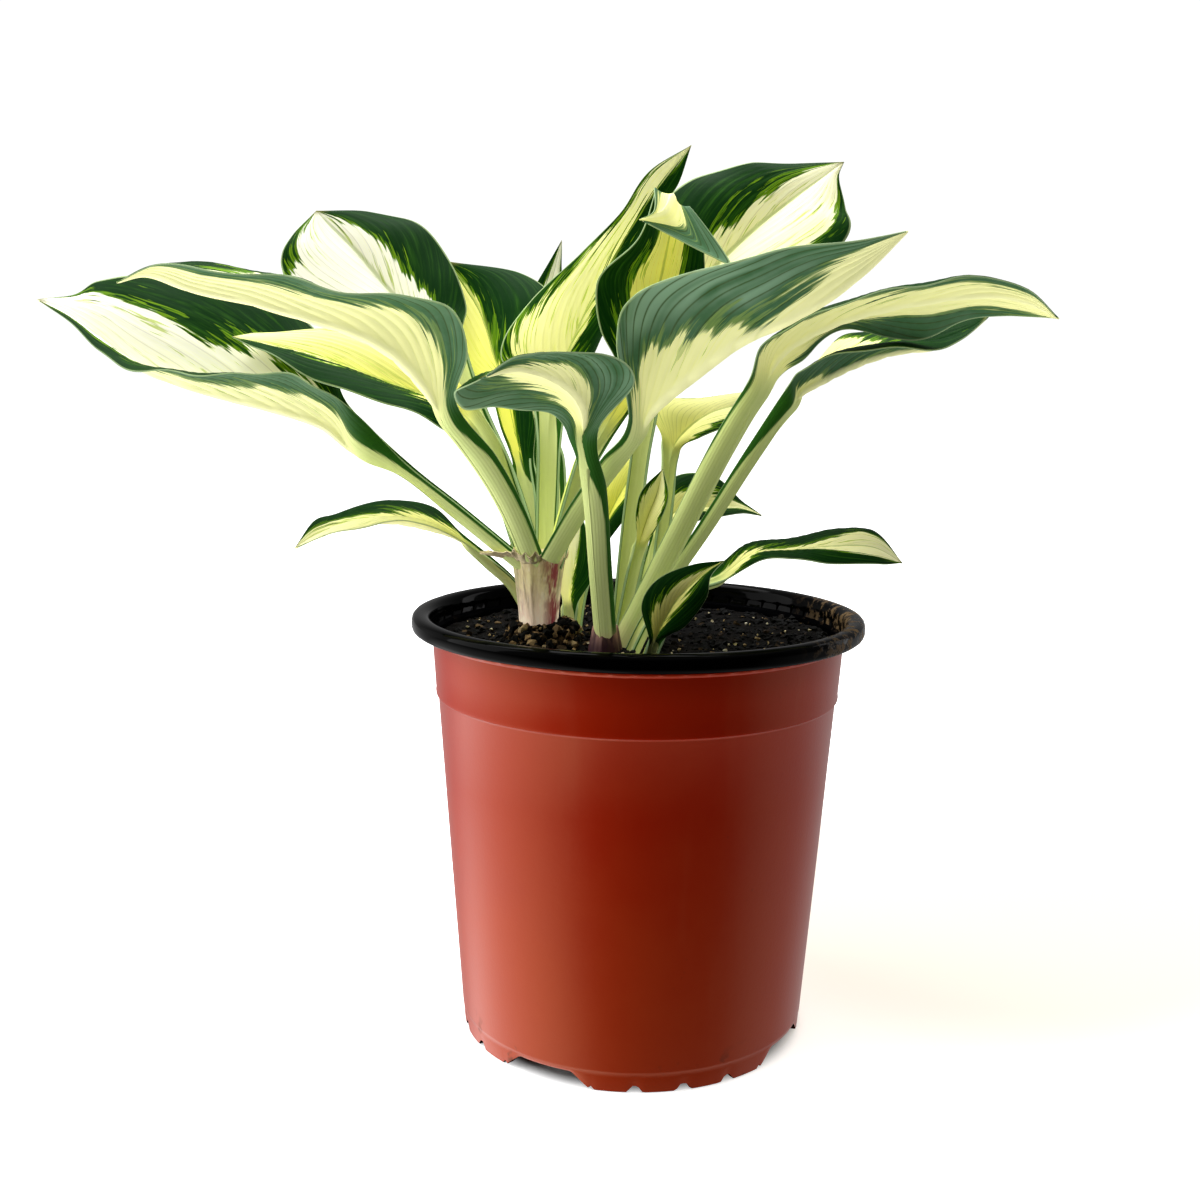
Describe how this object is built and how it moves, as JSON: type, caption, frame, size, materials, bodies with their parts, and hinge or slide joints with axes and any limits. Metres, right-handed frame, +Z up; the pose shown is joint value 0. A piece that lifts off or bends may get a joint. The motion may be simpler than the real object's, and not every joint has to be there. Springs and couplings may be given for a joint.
{
  "type": "potted hosta plant",
  "caption": "Young variegated hosta in a round rimmed nursery pot on notched feet, with arching cream and green leaves on long stalks above dark potting soil.",
  "frame": {"origin": "on the floor under the middle of the whole plant's box; the pot's own axis stands at x +0.041 m, y +0.019 m", "axes": "+Z up, +X along the plant's widest spread towards the right-hand leaves, -Y towards the side with the foremost leaf"},
  "size_m": [0.3535, 0.2038, 0.3244],
  "materials": {
    "pot_plastic": "semi-gloss terracotta plastic, glossy black on the rim and inside",
    "soil": "rough dark crumbly potting mix of peat and bark",
    "sheath": "matt off-white skin flushed purple, with a dry papery collar",
    "leaf": "satin leaf, cream centre with a dark green edge, paler and duller underneath"
  },
  "bodies": {
    "root": {"pot": "pot_plastic", "potting_soil": "soil", "shoot_left": "sheath", "shoot_right": "sheath", "leaf_far_left": "leaf", "leaf_left_arch": "leaf", "leaf_mid_left": "leaf", "leaf_back_left": "leaf", "leaf_back_inner": "leaf", "leaf_tall": "leaf", "leaf_back_centre": "leaf", "leaf_front": "leaf", "leaf_right_big": "leaf", "leaf_right_arch": "leaf", "leaf_right_under": "leaf", "leaf_top_right": "leaf", "leaf_curl": "leaf", "leaf_small_yellow": "leaf", "leaf_small_upright": "leaf", "leaf_small_right": "leaf", "leaf_low_front": "leaf", "leaf_low_right": "leaf", "leaf_low_left": "leaf", "leaf_young": "leaf", "leaf_low_back": "leaf"}
  },
  "joints": []
}
